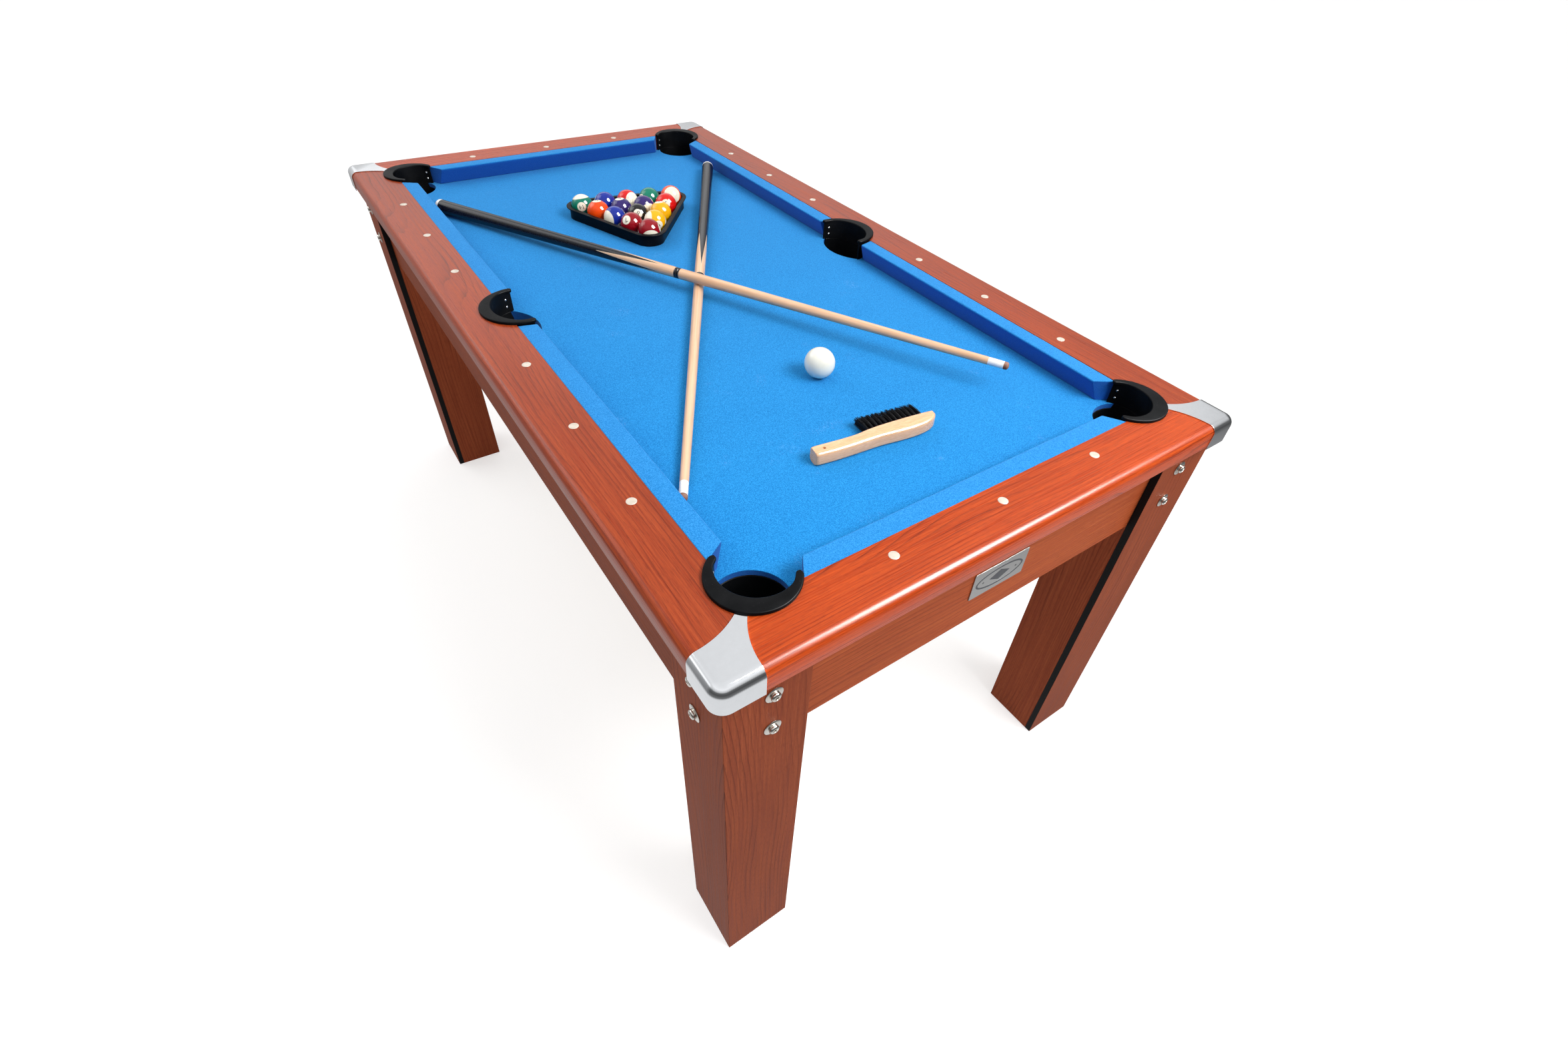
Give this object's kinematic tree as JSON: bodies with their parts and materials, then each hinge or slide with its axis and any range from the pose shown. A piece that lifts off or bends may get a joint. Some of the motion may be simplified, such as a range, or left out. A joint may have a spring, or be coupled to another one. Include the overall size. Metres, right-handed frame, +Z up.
{
  "type": "mini pool table",
  "caption": "Small pool table on square box legs, cherry wood-grain rails, blue cloth, drop pockets, chrome corner caps; with racked balls, two-piece cues, triangle and table brush.",
  "frame": {"origin": "on the floor, in the middle of the table's width and length", "axes": "+X across the width, +Y along the length and away from the end with the nameplate, +Z up"},
  "size_m": [0.923, 1.715, 0.8246],
  "materials": {
    "rail_foil": "glossy cherry wood-grain foil over fibreboard",
    "cabinet_foil": "satin dark cherry wood-grain foil over fibreboard",
    "raw_board": "raw fibreboard and particle board",
    "blue_cloth": "short-napped bright blue playing cloth",
    "pocket_plastic": "matt black moulded plastic",
    "chrome_plate": "polished chrome",
    "satin_metal": "brushed satin",
    "rack_plastic": "black moulded plastic, half gloss",
    "white_plastic": "white plastic, half gloss",
    "cue_lacquer": "black gloss lacquer with pale points",
    "cue_maple": "clear gloss lacquer over pale maple",
    "brush_wood": "clear lacquer over pale wood",
    "bristle": "stiff black nylon bristle",
    "ball_ivory": "polished",
    "ball_yellow": "polished",
    "ball_blue": "polished",
    "ball_red": "polished",
    "ball_purple": "polished",
    "ball_orange": "polished",
    "ball_green": "polished",
    "ball_maroon": "polished",
    "ball_black": "polished"
  },
  "bodies": {
    "table": {"bed_board": "raw_board", "bed_cloth": "blue_cloth", "cross_beam_near": "raw_board", "cross_beam_far": "raw_board", "rail_left": "rail_foil", "rail_right": "rail_foil", "rail_near": "rail_foil", "rail_far": "rail_foil", "cushion_left_near": "blue_cloth", "cushion_left_far": "blue_cloth", "cushion_right_near": "blue_cloth", "cushion_right_far": "blue_cloth", "cushion_near": "blue_cloth", "cushion_far": "blue_cloth", "pocket_near_left": "pocket_plastic", "pocket_far_left": "pocket_plastic", "pocket_middle_left": "pocket_plastic", "pocket_near_right": "pocket_plastic", "pocket_far_right": "pocket_plastic", "pocket_middle_right": "pocket_plastic", "apron_left": "cabinet_foil", "apron_right": "cabinet_foil", "apron_near": "cabinet_foil", "apron_far": "cabinet_foil", "leg_near_left": "cabinet_foil", "leg_near_right": "cabinet_foil", "leg_far_left": "cabinet_foil", "leg_far_right": "cabinet_foil", "corner_cap_near_left": "chrome_plate", "corner_cap_near_right": "chrome_plate", "corner_cap_far_left": "chrome_plate", "corner_cap_far_right": "chrome_plate", "nameplate": "satin_metal"},
    "cue_ball": {"cue_ball": "ball_ivory"},
    "ball_01": {"ball_01": "ball_yellow"},
    "ball_02": {"ball_02": "ball_blue"},
    "ball_03": {"ball_03": "ball_red"},
    "ball_04": {"ball_04": "ball_purple"},
    "ball_05": {"ball_05": "ball_orange"},
    "ball_06": {"ball_06": "ball_green"},
    "ball_07": {"ball_07": "ball_maroon"},
    "ball_08": {"ball_08": "ball_black"},
    "ball_09": {"ball_09": "ball_yellow"},
    "ball_10": {"ball_10": "ball_blue"},
    "ball_11": {"ball_11": "ball_red"},
    "ball_12": {"ball_12": "ball_purple"},
    "ball_13": {"ball_13": "ball_orange"},
    "ball_14": {"ball_14": "ball_green"},
    "ball_15": {"ball_15": "ball_maroon"},
    "triangle_rack": {"triangle_rack": "rack_plastic"},
    "lower_cue": {"lower_cue_bumper": "white_plastic", "lower_cue_butt": "cue_lacquer"},
    "lower_cue_front": {"lower_cue_shaft": "cue_maple", "lower_cue_ferrule": "white_plastic"},
    "upper_cue": {"upper_cue_bumper": "white_plastic", "upper_cue_butt": "cue_lacquer"},
    "upper_cue_front": {"upper_cue_shaft": "cue_maple", "upper_cue_ferrule": "white_plastic"},
    "brush": {"brush_handle": "brush_wood", "brush_bristles": "bristle"}
  },
  "joints": [
    {"name": "cue_ball_lift", "type": "slide", "parent": "table", "child": "cue_ball", "axis": [0, 0, 1], "range_m": [0, 0.15]},
    {"name": "ball_01_lift", "type": "slide", "parent": "table", "child": "ball_01", "axis": [0, 0, 1], "range_m": [0, 0.15]},
    {"name": "ball_02_lift", "type": "slide", "parent": "table", "child": "ball_02", "axis": [0, 0, 1], "range_m": [0, 0.15]},
    {"name": "ball_03_lift", "type": "slide", "parent": "table", "child": "ball_03", "axis": [0, 0, 1], "range_m": [0, 0.15]},
    {"name": "ball_04_lift", "type": "slide", "parent": "table", "child": "ball_04", "axis": [0, 0, 1], "range_m": [0, 0.15]},
    {"name": "ball_05_lift", "type": "slide", "parent": "table", "child": "ball_05", "axis": [0, 0, 1], "range_m": [0, 0.15]},
    {"name": "ball_06_lift", "type": "slide", "parent": "table", "child": "ball_06", "axis": [0, 0, 1], "range_m": [0, 0.15]},
    {"name": "ball_07_lift", "type": "slide", "parent": "table", "child": "ball_07", "axis": [0, 0, 1], "range_m": [0, 0.15]},
    {"name": "ball_08_lift", "type": "slide", "parent": "table", "child": "ball_08", "axis": [0, 0, 1], "range_m": [0, 0.15]},
    {"name": "ball_09_lift", "type": "slide", "parent": "table", "child": "ball_09", "axis": [0, 0, 1], "range_m": [0, 0.15]},
    {"name": "ball_10_lift", "type": "slide", "parent": "table", "child": "ball_10", "axis": [0, 0, 1], "range_m": [0, 0.15]},
    {"name": "ball_11_lift", "type": "slide", "parent": "table", "child": "ball_11", "axis": [0, 0, 1], "range_m": [0, 0.15]},
    {"name": "ball_12_lift", "type": "slide", "parent": "table", "child": "ball_12", "axis": [0, 0, 1], "range_m": [0, 0.15]},
    {"name": "ball_13_lift", "type": "slide", "parent": "table", "child": "ball_13", "axis": [0, 0, 1], "range_m": [0, 0.15]},
    {"name": "ball_14_lift", "type": "slide", "parent": "table", "child": "ball_14", "axis": [0, 0, 1], "range_m": [0, 0.15]},
    {"name": "ball_15_lift", "type": "slide", "parent": "table", "child": "ball_15", "axis": [0, 0, 1], "range_m": [0, 0.15]},
    {"name": "triangle_rack_lift", "type": "slide", "parent": "table", "child": "triangle_rack", "axis": [0, 0, 1], "range_m": [0, 0.12]},
    {"name": "lower_cue_lift", "type": "slide", "parent": "table", "child": "lower_cue", "axis": [0, 0, 1], "range_m": [0, 0.12]},
    {"name": "lower_cue_screw", "type": "hinge", "parent": "lower_cue", "child": "lower_cue_front", "pos_m": [-0.00231, -0.00319, 0.78387], "axis": [-0.5168, -0.8561, -0.0064], "continuous": true},
    {"name": "upper_cue_lift", "type": "slide", "parent": "lower_cue", "child": "upper_cue", "axis": [0, 0, 1], "range_m": [0, 0.12]},
    {"name": "upper_cue_screw", "type": "hinge", "parent": "upper_cue", "child": "upper_cue_front", "pos_m": [-0.04473, -0.00355, 0.80334], "axis": [0.4446, -0.8954, 0.0233], "continuous": true},
    {"name": "brush_lift", "type": "slide", "parent": "table", "child": "brush", "axis": [0, 0, 1], "range_m": [0, 0.12]}
  ]
}
